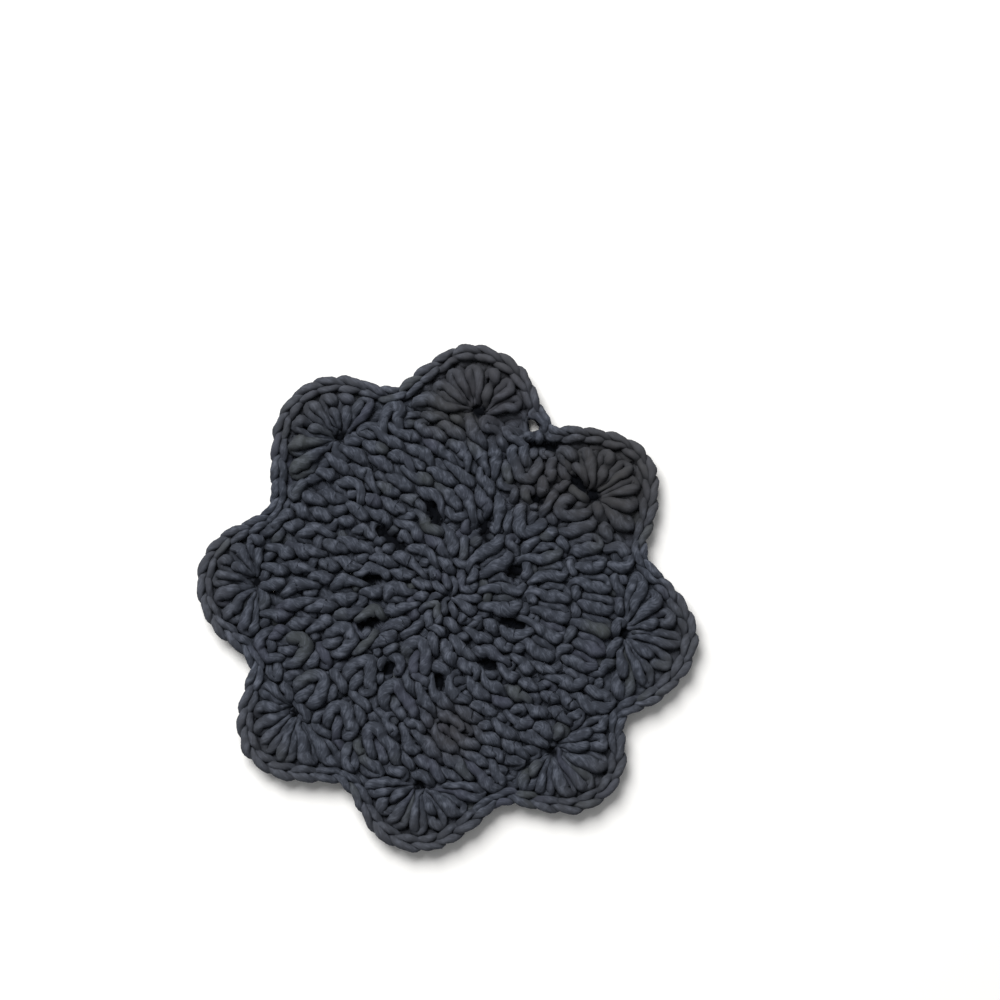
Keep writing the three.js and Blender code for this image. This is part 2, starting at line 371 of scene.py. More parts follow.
# %% Stitch tables
CHAIN_ON_TOP = [
    (-0.05, 1.00, 2.1, 0.90), (0.20, 0.97, 2.7, 1.00), (0.65, 0.96, 2.8, 1.08),
    (1.00, 1.00, 2.4, 0.90), (0.70, 1.08, 2.0, 0.95), (0.30, 1.08, 1.8, 0.95),
    (0.18, 1.00, 1.3, 1.00),
]
INTO_THE_WORK = [
    (-0.55, 0.78, 1.3, 1.10), (-0.36, 0.30, 1.2, 1.10), (-0.14, -0.16, 1.5, 0.90),
]
OUT_AGAIN = [
    (0.16, -0.12, 1.9, 0.85), (0.34, 0.08, 1.2, 1.05), (0.42, 0.38, 1.1, 1.15),
    (0.26, 0.60, 1.2, 1.10),
]
LONG_LEGS = INTO_THE_WORK + [
    (-0.14, -0.14, 2.8, 0.75), (-0.12, 0.06, 3.8, 1.10), (-0.08, 0.36, 4.2, 1.42),
    (-0.03, 0.66, 4.1, 1.32), (0.04, 0.88, 2.8, 0.85), (0.26, 0.82, 2.0, 0.80),
    (0.40, 0.60, 2.1, 0.95), (0.40, 0.34, 2.1, 0.98), (0.34, 0.08, 2.0, 0.85),
] + OUT_AGAIN + [
    (-0.02, 0.66, 1.9, 0.85), (-0.10, 0.90, 2.6, 0.85), (0.02, 1.00, 2.4, 0.85),
    (0.14, 0.86, 1.5, 0.95),
] + CHAIN_ON_TOP
TWO_LUMPS = INTO_THE_WORK + [
    (-0.18, -0.14, 2.8, 0.75), (-0.22, 0.03, 4.0, 1.10), (-0.14, 0.22, 4.5, 1.36),
    (0.00, 0.40, 4.1, 1.18), (0.12, 0.53, 2.8, 0.80), (0.28, 0.42, 2.0, 0.85),
    (0.32, 0.20, 1.9, 0.95), (0.26, -0.02, 1.9, 0.85),
] + OUT_AGAIN + [
    (-0.14, 0.46, 2.6, 0.75), (-0.16, 0.59, 4.0, 1.15), (-0.06, 0.76, 4.4, 1.34),
    (0.07, 0.92, 4.0, 1.12), (0.15, 1.02, 2.8, 0.85), (0.16, 0.84, 1.6, 0.90),
] + CHAIN_ON_TOP
SLIVERS = INTO_THE_WORK + [
    (-0.32, -0.14, 2.1, 0.60), (-0.30, 0.00, 3.5, 0.98), (-0.24, 0.16, 4.5, 1.36),
    (-0.16, 0.34, 4.4, 1.28), (-0.08, 0.50, 3.2, 0.88), (0.00, 0.60, 1.9, 0.60),
    (0.30, 0.50, 1.4, 0.90), (0.20, 0.36, 2.1, 0.62), (0.23, 0.50, 3.5, 0.98),
    (0.30, 0.68, 4.5, 1.34), (0.37, 0.86, 4.3, 1.26), (0.44, 1.00, 3.1, 0.88),
    (0.42, 1.07, 1.9, 0.62), (0.16, 0.90, 1.5, 0.90),
] + CHAIN_ON_TOP
WIDE_LOOP = INTO_THE_WORK[:1] + [
    (-0.50, 0.98, 2.2, 0.90), (-0.58, 0.76, 3.8, 1.12), (-0.54, 0.46, 4.4, 1.26),
    (-0.30, 0.24, 4.5, 1.26), (0.04, 0.14, 4.4, 1.24), (0.36, 0.26, 4.4, 1.24),
    (0.56, 0.50, 4.2, 1.20), (0.56, 0.78, 3.6, 1.08), (0.46, 0.98, 2.2, 0.90),
    (0.20, 0.60, 1.3, 1.10), (0.20, 0.10, 1.4, 1.10), (-0.20, -0.10, 2.4, 1.00),
    (-0.10, 0.10, 1.9, 0.85), (0.00, 0.44, 2.4, 0.95), (0.00, 0.70, 3.7, 1.12),
    (0.04, 0.90, 3.2, 1.00), (0.12, 0.86, 1.5, 0.95),
] + CHAIN_ON_TOP
BETWEEN_LOOPS = INTO_THE_WORK + [
    (-0.06, -0.10, 2.6, 0.85), (0.00, 0.10, 3.5, 1.08), (0.05, 0.28, 3.3, 1.06),
    (0.10, 0.44, 2.2, 0.85), (0.20, 0.20, 1.4, 1.00),
] + OUT_AGAIN + [
    (0.00, 0.66, 2.4, 0.85), (0.00, 0.82, 3.5, 1.06), (0.05, 0.96, 3.1, 0.98),
    (0.14, 0.86, 1.5, 0.95),
] + CHAIN_ON_TOP
FAN_POST = [
    (-0.38, 0.88, 1.3, 1.10), (-0.34, 0.60, 1.1, 1.05), (-0.22, 0.22, 1.0, 0.60),
    (-0.14, 0.01, 1.2, 0.42), (-0.14, 0.02, 2.0, 0.42), (-0.16, 0.20, 3.4, 0.60),
    (-0.18, 0.45, 4.1, 0.92), (-0.18, 0.68, 4.1, 1.05), (-0.14, 0.86, 3.1, 0.90),
    (0.06, 0.94, 2.4, 0.75), (0.28, 0.82, 2.9, 0.85), (0.32, 0.60, 3.8, 0.95),
    (0.30, 0.28, 3.3, 0.66), (0.18, 0.02, 1.8, 0.42), (0.18, 0.10, 1.0, 0.50),
    (0.14, 0.45, 1.1, 0.90), (0.06, 0.84, 1.3, 1.15), (0.36, 0.93, 1.3, 1.20),
]
FAN_LUMPS = FAN_POST[:4] + [
    (-0.10, 0.04, 2.1, 0.45), (-0.20, 0.22, 3.6, 0.75), (-0.10, 0.42, 4.2, 1.15),
    (0.10, 0.55, 3.4, 0.90), (0.22, 0.48, 2.2, 0.75), (0.02, 0.42, 1.7, 0.75),
    (-0.24, 0.52, 2.4, 0.75), (-0.24, 0.68, 3.9, 1.10), (-0.06, 0.84, 4.1, 1.15),
    (0.16, 0.92, 2.9, 0.85), (0.32, 0.72, 3.1, 0.85), (0.30, 0.40, 3.0, 0.80),
] + FAN_POST[13:]
FAN_SPINDLE = FAN_POST[:5] + [
    (-0.10, 0.20, 3.6, 0.70), (-0.04, 0.45, 4.3, 1.15), (-0.02, 0.68, 4.3, 1.30),
    (0.02, 0.86, 3.6, 1.05), (0.12, 0.94, 2.2, 0.75), (0.36, 0.80, 2.0, 0.85),
    (0.40, 0.55, 2.4, 0.85), (0.32, 0.26, 2.2, 0.66),
] + FAN_POST[13:]
UNDER_THE_PIT = [
    (-0.30, 0.10, 1.0, 0.95), (-0.30, -0.10, 1.0, 1.00), (0.00, -0.22, 1.0, 1.05),
    (0.50, -0.08, 1.0, 1.00), (0.20, 0.02, 1.1, 0.70),
]
JOINING_STITCH = [
    (-0.50, 0.60, 1.3, 1.10), (-0.85, 0.00, 1.2, 1.15), (-0.40, -0.40, 1.3, 1.10),
    (-0.24, -0.55, 1.8, 0.90), (-0.24, -0.50, 3.2, 0.95), (-0.22, 0.10, 4.0, 1.15),
    (-0.14, 0.60, 3.6, 1.10), (0.10, 0.75, 2.6, 0.95), (0.24, 0.20, 3.4, 1.10),
    (0.24, -0.40, 2.8, 0.95), (0.30, -0.35, 1.4, 1.10), (0.85, -0.05, 1.2, 1.15),
    (0.45, 0.55, 1.2, 1.15), (0.10, 0.20, 1.2, 1.15), (0.40, 0.80, 1.3, 1.00),
]
# The rim's chain: x in its own stitches along the rim, then mm outwards, height and thickness.
RIM_LOOP = [
    (-0.45, 0.00, 2.0, 0.70), (-0.15, 0.12, 3.1, 0.72), (0.15, 0.42, 4.0, 0.78),
    (0.55, 0.74, 4.1, 0.82), (0.92, 0.70, 3.5, 0.80), (1.14, 0.36, 2.9, 0.72),
    (1.18, 0.00, 2.7, 0.70), (1.14, -0.36, 2.9, 0.72), (0.92, -0.70, 3.4, 0.80),
    (0.55, -0.76, 3.9, 0.82), (0.15, -0.42, 3.9, 0.78), (-0.15, -0.12, 3.0, 0.72),
    (-0.20, -0.20, 1.8, 0.78), (0.20, -0.30, 1.3, 0.95), (0.50, -0.20, 1.4, 0.95),
]

# Where round the coaster each look begins, in degrees.
LOOKS = [
    (0, (LONG_LEGS,)),
    (35, (TWO_LUMPS, WIDE_LOOP, BETWEEN_LOOPS)),
    (70, (SLIVERS, SLIVERS, TWO_LUMPS)),
    (196, (WIDE_LOOP, BETWEEN_LOOPS)),
    (252, (SLIVERS, TWO_LUMPS, SLIVERS)),
    (325, (LONG_LEGS,)),
]
LOOK_BORDER = 9.0  # degrees over which two looks mix by chance
# How far the strands in front lean over as well, in stitches from root to top, every 30 degrees.
NAP_AT = np.arange(0, 361, 30)
NAP = [-0.8, -0.5, 0.7, 1.6, 0.25, -0.25, -0.25, -0.4, 1.0, 1.4, 0.6, -0.1, -0.8]

# %% [markdown]
# ## Laying the yarn
#
# Hand work is never even, so each point of each stitch moves a little, by seeded chance. The
# points are then joined into one closed line for each round, with rounded corners, and cut into
# short equal steps.

# %% One stitch
UNEVEN = np.array([0.06, 0.03, 0.22, 0.09])  # in x, y, z and thickness
TAPER = 1.4  # how much more the yarn thins where it dives and thickens on its way over
chance = np.random.RandomState(41)


def look_at(degrees, i):
    """The table of the stitch that stands in this direction."""
    degrees = (degrees + chance.uniform(-LOOK_BORDER, LOOK_BORDER)) % 360
    tables = [tables for start, tables in LOOKS if start <= degrees][-1]
    return tables[i % len(tables)]


def laid(way, place, wild=1.0, nap=0.0):
    """One stitch's points in mm, with thickness, from its table and a function of x and y."""
    rows = np.array(way) + chance.uniform(-1, 1, (len(way), 4)) * UNEVEN * wild
    above = rows[:, 2] > LOW_STRANDS
    rows[above, 0] += nap * (rows[above, 1] - 0.5)
    if way is not RIM_LOOP:
        rows[above, 3] = 1 + TAPER * (rows[above, 3] - 1)
    points = [np.append(place(x, y, z), (z, thick)) for x, y, z, thick in rows]
    return np.array(points)


print("points in one long-legged stitch:", len(LONG_LEGS))

# %% One round's line
RIM_STITCHES = 74
STEP = 0.65  # mm from one point of the line to the next
FINE_STEP = 0.33
CORNER_PASSES = 7
WOBBLE_PASSES = 2
WILD = {"round_1": 1.9, "round_2": 1.4}  # the first rounds are the least even
RIM_WILD = 0.5
WOBBLE = 0.36  # mm that the yarn wanders from its way, before it is softened
TIGHT = 0.55  # share of its thickness that the yarn keeps at the coaster's middle


def even_steps(line, step):
    """A closed line of points, cut again into equal steps."""
    closed = np.concatenate([line, line[:1]])
    length = np.linalg.norm(np.diff(closed[:, :3], axis=0), axis=1)
    at = np.concatenate([[0.0], np.cumsum(length)])
    count = round(at[-1] / step)
    wanted = np.linspace(0, at[-1], count, endpoint=False)
    return np.stack([np.interp(wanted, at, closed[:, c]) for c in range(closed.shape[1])], axis=1)


def rounded(stitches, wobble=WOBBLE):
    line = even_steps(np.concatenate(stitches), FINE_STEP)
    line = even_steps(softened(line, CORNER_PASSES), STEP)
    line[:, :3] += softened(chance.normal(0, wobble, (len(line), 3)), WOBBLE_PASSES)
    return line


def plain_round(plan):
    stitches = []
    for i in range(plan["stitches"]):
        degrees = 360.0 * (i + 0.5) / plan["stitches"]
        way = look_at(degrees, i)
        if plan["name"] == "round_1":
            way = [(x, y, z, thick * (TIGHT + (1 - TIGHT) * y)) for x, y, z, thick in way]
        wild = WILD.get(plan["name"], 1.0)
        nap = float(np.interp(degrees, NAP_AT, NAP))
        stitches.append(laid(way, lambda x, y, z: round_place(plan, i, x, y, z), wild, nap))
    return rounded(stitches)


def fans():
    stitches = []
    for i in range(EDGE_STITCHES * len(SCALLOPS)):
        post = i % EDGE_STITCHES
        way = (FAN_POST, FAN_LUMPS, FAN_SPINDLE)[chance.randint(3)]
        if post == POSTS // 2:
            way = FAN_POST[:2] + UNDER_THE_PIT + FAN_POST[3:]
        if post == POSTS:
            way = JOINING_STITCH
        stitches.append(laid(way, lambda x, y, z: edge_place(i, x, y, z)))
    return rounded(stitches)


def rim_chain():
    pitch = rim_length[-1] / RIM_STITCHES
    stitches = []
    for i in range(RIM_STITCHES):
        def place(x, out, z):
            point, side = rim_place((i + x) * pitch)
            return point + out * side
        stitches.append(laid(RIM_LOOP, place, RIM_WILD))
    return rounded(stitches, WOBBLE * RIM_WILD)


lines = {plan["name"]: plain_round(plan) for plan in ROUNDS}
lines["scallops"] = fans()
lines["rim_chain"] = rim_chain()
for name, line in lines.items():
    print(f"{name}: {len(line)} points, {len(line) * STEP / 1000:.2f} m of yarn")

# %% [markdown]
# ## Settling
#
# Two strands of yarn can't be in the same place. Points that lie too near each other are pushed
# apart a little, again and again, while a weak pull keeps every point near the place that its
# stitch gave it. Real yarn flattens where it is squeezed. A round strand can't, so the strands
# still press into each other a little at the end. Nothing sinks into the table below.

# %% All strands together
YARN = 2.5  # thickness of the yarn in mm where nothing squeezes it
YARN_SHARES = 0.35, 1.55  # the thinnest and thickest that a stitch may ask for

names = list(lines)
sizes = [len(lines[name]) for name in names]
home = np.concatenate([lines[name][:, :3] for name in names])
home[:, :2] -= middle
thickness = np.clip(np.concatenate([lines[name][:, 3] for name in names]), *YARN_SHARES)
radius = thickness * YARN / 2
strand = np.repeat(np.arange(len(names)), sizes)
order = np.concatenate([np.arange(size) for size in sizes])
strand_size = np.repeat(sizes, sizes)
on_rim = strand == names.index("rim_chain")
print(len(home), "points on", len(names), "lines")

# %% Neighbours
REACH = 3.6  # mm within which neighbours are looked for
OWN_STRAND = 5  # points along the yarn that never push each other


def search_tree(places):
    tree = KDTree(len(places))
    for i, place in enumerate(places):
        tree.insert(place, i)
    tree.balance()
    return tree


def on_the_floor(places):
    """The same places, seen from straight above."""
    return np.column_stack([places[:, :2], np.zeros(len(places))])


def neighbours(points):
    """Pairs of points that are near each other and not next to each other on the yarn."""
    tree = search_tree(points)
    first, second = [], []
    for i, point in enumerate(points):
        near = [j for _, j, _ in tree.find_range(point, REACH) if j > i]
        first.extend([i] * len(near))
        second.extend(near)
    first, second = np.array(first), np.array(second)
    apart = np.abs(order[first] - order[second])
    apart = np.minimum(apart, strand_size[first] - apart)
    keep = (strand[first] != strand[second]) | (apart > OWN_STRAND)
    return first[keep], second[keep]


def along_each(values, passes):
    """Values softened along each round's own yarn."""
    done, at = values.copy(), 0
    for size in sizes:
        done[at : at + size] = softened(values[at : at + size], passes)
        at += size
    return done


print("pairs near each other at first:", len(neighbours(home)[0]))

# %% [markdown]
# ## Openings
#
# Between some stitches the eye looks down into a black gap, and the posts of each fan come out
# of a dark pit. In one place, beside a notch, the surface below shows through. A random tangle
# wouldn't leave these open, so each is written down as a short line with a width, and strands
# above the lowest layer are moved out of it.

# %% Gaps, pits and the hole
# The gaps between the pairs and a few dark slits further out: their two ends and half their
# width, in mm.
GAPS = [
    ((-14.8, 14.7), (-10.6, 11.6), 1.15),
    ((8.1, 13.4), (8.3, 17.0), 1.1),
    ((-2.4, 16.9), (-3.6, 20.2), 1.0),
    ((12.2, -5.1), (16.2, -6.1), 0.85),
    ((14.0, 5.1), (15.0, 6.1), 1.15),
    ((-18.8, -6.1), (-16.0, -5.2), 0.85),
    ((8.2, -14.2), (10.0, -15.0), 0.9),
    ((-1.8, -17.4), (-1.8, -19.2), 0.9),
    ((-17.8, 4.1), (-15.4, 4.3), 0.8),
    ((-13.4, -15.9), (-12.4, -14.9), 0.95),
    ((18.6, 33.7), (23.4, 33.3), 0.7),
    ((28.0, 26.2), (29.6, 24.4), 1.0),
    ((19.0, 21.6), (20.2, 21.6), 0.8),
]
GAP_PUSH = 0.5
GAP_MARGIN = 0.5
GAP_STRAND = 1.1  # the radius in mm of a strand that crosses a gap
GAP_SIDE = 0.9  # share of a gap's width that the strands beside it never swell into
THINNEST = 0.6
WIDEST = 1.8  # mm; no strand's radius is larger
PIT_OUT = 0.6  # mm outwards from a fan's root to the middle of its pit
HOLE_AT = (18.7, 37.9)
HOLE_HALF = 1.2
NO_FLOOR = -1.0  # a height below everything: no strand crosses the hole
BEND_FROM = (19.4, 37.9)  # strands are bent away from here, a little beside the hole's middle
HOLE_BEND = 2.4  # mm that a strand through that place is bent aside
BEND_REACH = 4.8
TINY = 1e-6  # keeps what something is divided by above zero

# Each opening: its ends and half its width in mm, and the height below which strands cross it.
openings = [(np.array(ends), half_width, GAP_FLOOR) for *ends, half_width in GAPS]
for scallop in SCALLOPS:
    root = in_body(scallop["root"] + PIT_OUT, scallop["root_at"]) - middle
    openings.append((np.array([root, root]), scallop["pit"], GAP_FLOOR))
openings.append((np.array([HOLE_AT, HOLE_AT]), HOLE_HALF, NO_FLOOR))


def out_of(ends, points):
    """The way from an opening's middle line to each point, and its length."""
    line = ends[1] - ends[0]
    share = np.clip((points[:, :2] - ends[0]) @ line / max(line @ line, TINY), 0, 1)
    away = points[:, :2] - ends[0] - share[:, None] * line
    return away, np.linalg.norm(away, axis=1) + TINY


def keep_open(points):
    """Moves strands out of the openings."""
    for ends, half_width, floor_height in openings:
        away, far = out_of(ends, points)
        lack = np.clip(half_width + radius - far, 0, None) * (points[:, 2] > floor_height)
        points[:, :2] += GAP_PUSH * away / far[:, None] * lack[:, None]


def in_a_gap(points, margin=GAP_MARGIN):
    """Which points lie in one of the openings."""
    inside = np.zeros(len(points), bool)
    for ends, half_width, _ in openings:
        inside |= out_of(ends, points)[1] < half_width + margin
    return inside


def room_beside(points):
    """The largest radius in mm that each strand can have beside the openings."""
    most = np.where(in_a_gap(points), GAP_STRAND, WIDEST)
    for ends, half_width, floor_height in openings:
        side = np.clip(out_of(ends, points)[1] - GAP_SIDE * half_width, THINNEST, None)
        most = np.where(points[:, 2] > floor_height, np.minimum(most, side), most)
    return most


print(len(openings), "openings:", len(GAPS), "gaps,", len(SCALLOPS), "pits and a hole")

# %% Places where light would come through
HALF_MAP = 60.0  # mm that the grids reach from the middle
CELL_OF_LIGHT = 0.35  # mm
NARROWEST = 0.2  # mm; a chink this narrow at a strand's side counts as open
EDGE_MARGIN = 2.4  # mm inside the outline
HOLE_MARGIN = 0.6  # mm round the hole that may let light through too
LOW = 2.6  # mm; strands below this spread into the places where light would come through
SPREAD_REACH = 3.2
SPREAD = 0.3

edge = outline - middle
edge_turn = np.arctan2(edge[:, 1], edge[:, 0])
edge_order = np.argsort(edge_turn)


def inside_outline(places, margin):
    """Which places lie inside the outline by a margin."""
    turn = np.arctan2(places[:, 1], places[:, 0])
    limit = np.interp(turn, edge_turn[edge_order], np.linalg.norm(edge, axis=1)[edge_order],
                      period=math.tau)
    return np.linalg.norm(places, axis=1) < limit - margin


def light_cells(points, radius):
    """Places inside the outline that no strand covers, seen from straight above."""
    cells = int(2 * HALF_MAP / CELL_OF_LIGHT)
    covered = np.zeros((cells, cells), bool)
    reach = int(WIDEST / CELL_OF_LIGHT)
    for i in range(-reach, reach + 1):
        for j in range(-reach, reach + 1):
            offset = np.array([i, j]) * CELL_OF_LIGHT
            over = points[radius - NARROWEST > np.linalg.norm(offset), :2]
            at = ((over + HALF_MAP + offset) / CELL_OF_LIGHT).astype(int)
            covered[at[:, 0], at[:, 1]] = True
    open_cells = (np.argwhere(~covered) + 0.5) * CELL_OF_LIGHT - HALF_MAP
    away = np.linalg.norm(open_cells - HOLE_AT, axis=1) > HOLE_HALF + HOLE_MARGIN
    return open_cells[inside_outline(open_cells, EDGE_MARGIN) & away]


def spread_low_strands(points, radius):
    """Draws the low strands towards the places where light would come through."""
    low = np.flatnonzero(points[:, 2] < LOW)
    tree = search_tree(on_the_floor(points[low]))
    move, count = np.zeros((len(points), 2)), np.zeros(len(points))
    for cell in light_cells(points, radius):
        for _, i, far in tree.find_range((*cell, 0.0), SPREAD_REACH):
            move[low[i]] += (cell - points[low[i], :2]) * (1 - far / SPREAD_REACH)
            count[low[i]] += 1
    points[:, :2] += SPREAD * move / np.maximum(count, 1)[:, None]


def print_open_places():
    area = len(light_cells(points, radius)) * CELL_OF_LIGHT**2
    print("open places left, mm2:", round(area, 1))


# %% Push the strands apart
ROOM = 0.93  # share of the two radii that two strands keep between their middles
PUSH = 0.42
PULL_BACK = 0.05
RIM_PULL_BACK = 0.3  # the rim's chain is worked tightly
ROUNDS_OF_PUSHING = 36
FIND_AGAIN = 9  # pushes between two searches for neighbours
SPREAD_EVERY = 3
TOP = 5.55  # mm; strands stay below it while they are pushed

pull = np.where(on_rim, RIM_PULL_BACK, PULL_BACK)[:, None]
# The strands round the hole are bent aside first, so that none of them crosses it.
away = home[:, :2] - BEND_FROM
far = np.linalg.norm(away, axis=1) + TINY
bend = HOLE_BEND * np.clip(1 - far / BEND_REACH, 0, 1) ** 2
home[:, :2] += away / far[:, None] * bend[:, None]
points = home.copy()
for turn in range(ROUNDS_OF_PUSHING):
    if turn % FIND_AGAIN == 0:
        first, second = neighbours(points)
    gap = points[second] - points[first]
    far = np.linalg.norm(gap, axis=1) + TINY
    wanted = ROOM * (radius[first] + radius[second])
    push = np.clip(wanted - far, 0, None) * PUSH
    count = np.bincount(first, push > 0, len(points)) + np.bincount(second, push > 0, len(points))
    share = push / far
    for axis in range(3):
        move = gap[:, axis] * share
        total = np.bincount(second, move, len(points)) - np.bincount(first, move, len(points))
        points[:, axis] += total / np.sqrt(np.maximum(count, 1))
    points += pull * (home - points)
    keep_open(points)
    if turn % SPREAD_EVERY == SPREAD_EVERY - 1:
        spread_low_strands(points, radius)
    points = home + along_each(points - home, 1)
    points[:, 2] = np.clip(points[:, 2], radius, TOP - radius)
print_open_places()
print("mean move, mm:", round(float(np.linalg.norm(points - home, axis=1).mean()), 2))

# %% [markdown]
# ## Swelling
#
# A strand swells where it has room and narrows where it is squeezed, most of all low in the work.
# Worked tightly, such yarn lets no light through, so low strands beside an open place then grow
# and spread into it, over a set number of passes, leaving the hole open.

# %% Swell and squeeze
SWELL = 1.16
SWELL_BELOW = 1.75  # low in the work, where the strands fill what room there is
LOW_FROM, LOW_TO = 3.0, 1.6  # mm; between these heights one swell becomes the other
SQUEEZE = 0.74
TOUCH = 1.10  # strands press into each other a little
RIM_TOUCH = 1.22
NO_NEIGHBOUR = 9.0  # mm
RADIUS_PASSES = 4
SLUBS = 0.12
SLUB_LIMITS = 0.8, 1.2
SLUB_PASSES = 2

first, second = neighbours(points)
far = np.linalg.norm(points[second] - points[first], axis=1)
room = np.full(len(points), NO_NEIGHBOUR)
for one in (first, second):
    np.minimum.at(room, one, far * radius[one] / (radius[first] + radius[second]))
lowness = np.clip((LOW_FROM - points[:, 2]) / (LOW_FROM - LOW_TO), 0, 1)
swell = SWELL + (SWELL_BELOW - SWELL) * lowness
radius = np.clip(room * np.where(on_rim, RIM_TOUCH, TOUCH), SQUEEZE * radius, swell * radius)
radius = along_each(radius, RADIUS_PASSES)
# The yarn has thicker and thinner stretches of its own.
slubs = along_each(chance.normal(0, SLUBS, len(points)), SLUB_PASSES)
radius *= np.clip(1 + slubs, *SLUB_LIMITS)
print("mean thickness, mm:", round(float(2 * radius.mean()), 2))

# %% Fill the open places
FILL_PASSES = 10
FILL_REACH = 0.7
FILL = 0.15
FILLED = 1.45
MOVE_PASSES = 2
LOBE_REACH = 1.10  # how high a strand lies on the floor, by its radius; its plies need 1.05

radius = np.minimum(radius, room_beside(points))
points[:, 2] = np.where(in_a_gap(points), radius * LOBE_REACH, points[:, 2])
for _ in range(FILL_PASSES):
    most = np.minimum(room_beside(points), FILLED)
    open_cells = light_cells(points, radius)
    if len(open_cells):
        tree = search_tree(on_the_floor(open_cells))
        for i in np.flatnonzero(points[:, 2] < LOW):
            if tree.find((*points[i, :2], 0.0))[2] < radius[i] + FILL_REACH:
                radius[i] = min(radius[i] + FILL, most[i])
        before = points.copy()
        spread_low_strands(points, radius)
        points = before + along_each(points - before, MOVE_PASSES)
points[:, 2] += np.clip(radius * LOBE_REACH - points[:, 2], 0, None)
print_open_places()
print("thinnest and thickest, mm:", np.round(2 * np.percentile(radius, [1, 50, 99]), 2))

# %% [markdown]
# ## Spinning the yarn
#
# The yarn is a soft cord of a few loosely twisted plies. A Geometry Nodes tree sweeps a slightly
# lobed circle along each line: the radius and the turn of the circle come from attributes on the
# line's points. The tree also keeps where each point of the surface lies on the strand, so that
# the fibres of the material can follow the yarn through every loop.

# %% The spinning tree
PLIES = 3
PLY_DEPTH = 0.05  # how far the plies stand out, by the yarn's radius
POINTS_AROUND = 14


def socket_of(tree, name):
    """A modifier's key for one of a tree's inputs."""
    return next(s.identifier for s in tree.interface.items_tree
                if s.item_type == "SOCKET" and s.in_out == "INPUT" and s.name == name)


def add(tree, kind, feeds=None, **settings):
    """A new node. Feeds gives its sockets a plain value, or another node's output."""
    node = tree.nodes.new(kind)
    for key, value in settings.items():
        setattr(node, key, value)
    for key, value in (feeds or {}).items():
        if isinstance(value, bpy.types.NodeSocket):
            tree.links.new(value, node.inputs[key])
        else:
            node.inputs[key].default_value = value
    return node


def store(tree, name, geometry, value):
    """The geometry with a direction or place stored on its points."""
    feeds = {"Geometry": geometry, "Name": name, "Value": value}
    return add(tree, "GeometryNodeStoreNamedAttribute", feeds, data_type="FLOAT_VECTOR",
               domain="POINT").outputs[0]


def spinning_tree():
    tree = bpy.data.node_groups.new("spun_yarn", "GeometryNodeTree")
    face = tree.interface
    face.new_socket("Geometry", in_out="INPUT", socket_type="NodeSocketGeometry")
    for name, kind, value in [
        ("Plies", "NodeSocketInt", PLIES),
        ("Ply depth", "NodeSocketFloat", PLY_DEPTH),
        ("Points around", "NodeSocketInt", POINTS_AROUND),
    ]:
        face.new_socket(name, in_out="INPUT", socket_type=kind).default_value = value
    face.new_socket("Material", in_out="INPUT", socket_type="NodeSocketMaterial")
    face.new_socket("Geometry", in_out="OUTPUT", socket_type="NodeSocketGeometry")
    source, result = add(tree, "NodeGroupInput"), add(tree, "NodeGroupOutput")

    def attribute(name, kind="FLOAT"):
        node = add(tree, "GeometryNodeInputNamedAttribute", {"Name": name}, data_type=kind)
        return node.outputs["Attribute"]

    def maths(operation, *values):
        return add(tree, "ShaderNodeMath", dict(enumerate(values)), operation=operation).outputs[0]

    def scaled(vector, size):
        feeds = {0: vector, "Scale": size}
        return add(tree, "ShaderNodeVectorMath", feeds, operation="SCALE").outputs[0]

    # The profile: a circle with a shallow lobe for each ply.
    points_around = source.outputs["Points around"]
    circle = add(tree, "GeometryNodeCurvePrimitiveCircle",
                 {"Radius": 1.0, "Resolution": points_around}, mode="RADIUS")
    index = add(tree, "GeometryNodeInputIndex").outputs[0]
    turn = maths("MULTIPLY", maths("DIVIDE", index, points_around), math.tau)
    lobe = maths("COSINE", maths("MULTIPLY", turn, source.outputs["Plies"]))
    swell = maths("ADD", maths("MULTIPLY", lobe, source.outputs["Ply depth"]), 1.0)
    around = add(tree, "ShaderNodeCombineXYZ",
                 {0: maths("COSINE", turn), 1: maths("SINE", turn)}).outputs[0]
    shaped = add(tree, "GeometryNodeSetPosition",
                 {"Geometry": circle.outputs[0], "Position": scaled(around, swell)})
    profile = store(tree, "around", shaped.outputs[0], around)

    # The line: its radius and turn, then the sweep.
    curve = add(tree, "GeometryNodeMeshToCurve", {0: source.outputs["Geometry"]})
    sized = add(tree, "GeometryNodeSetCurveRadius",
                {0: curve.outputs[0], "Radius": attribute("yarn_radius")})
    turned = add(tree, "GeometryNodeSetCurveTilt",
                 {0: sized.outputs[0], "Tilt": attribute("twist")})
    sweep = add(tree, "GeometryNodeCurveToMesh",
                {"Curve": turned.outputs[0], "Profile Curve": profile,
                 "Scale": attribute("yarn_radius")})

    # Where the surface lies on the strand, in mm: along it, and across it in two directions.
    across = scaled(attribute("around", "FLOAT_VECTOR"),
                    maths("MULTIPLY", attribute("yarn_radius"), 1 / MM))
    parts = add(tree, "ShaderNodeSeparateXYZ", {0: across}).outputs
    place = add(tree, "ShaderNodeCombineXYZ",
                {0: attribute("along"), 1: parts[0], 2: parts[1]}).outputs[0]
    kept = store(tree, "strand_place", sweep.outputs[0], place)
    smooth = add(tree, "GeometryNodeSetShadeSmooth", {0: kept})
    finish = add(tree, "GeometryNodeSetMaterial",
                 {"Geometry": smooth.outputs[0], "Material": source.outputs["Material"]})
    real = add(tree, "GeometryNodeRealizeInstances", {0: finish.outputs[0]})
    tree.links.new(real.outputs[0], result.inputs[0])
    return tree


spun_yarn = spinning_tree()
print("spinning tree:", len(spun_yarn.nodes), "nodes")

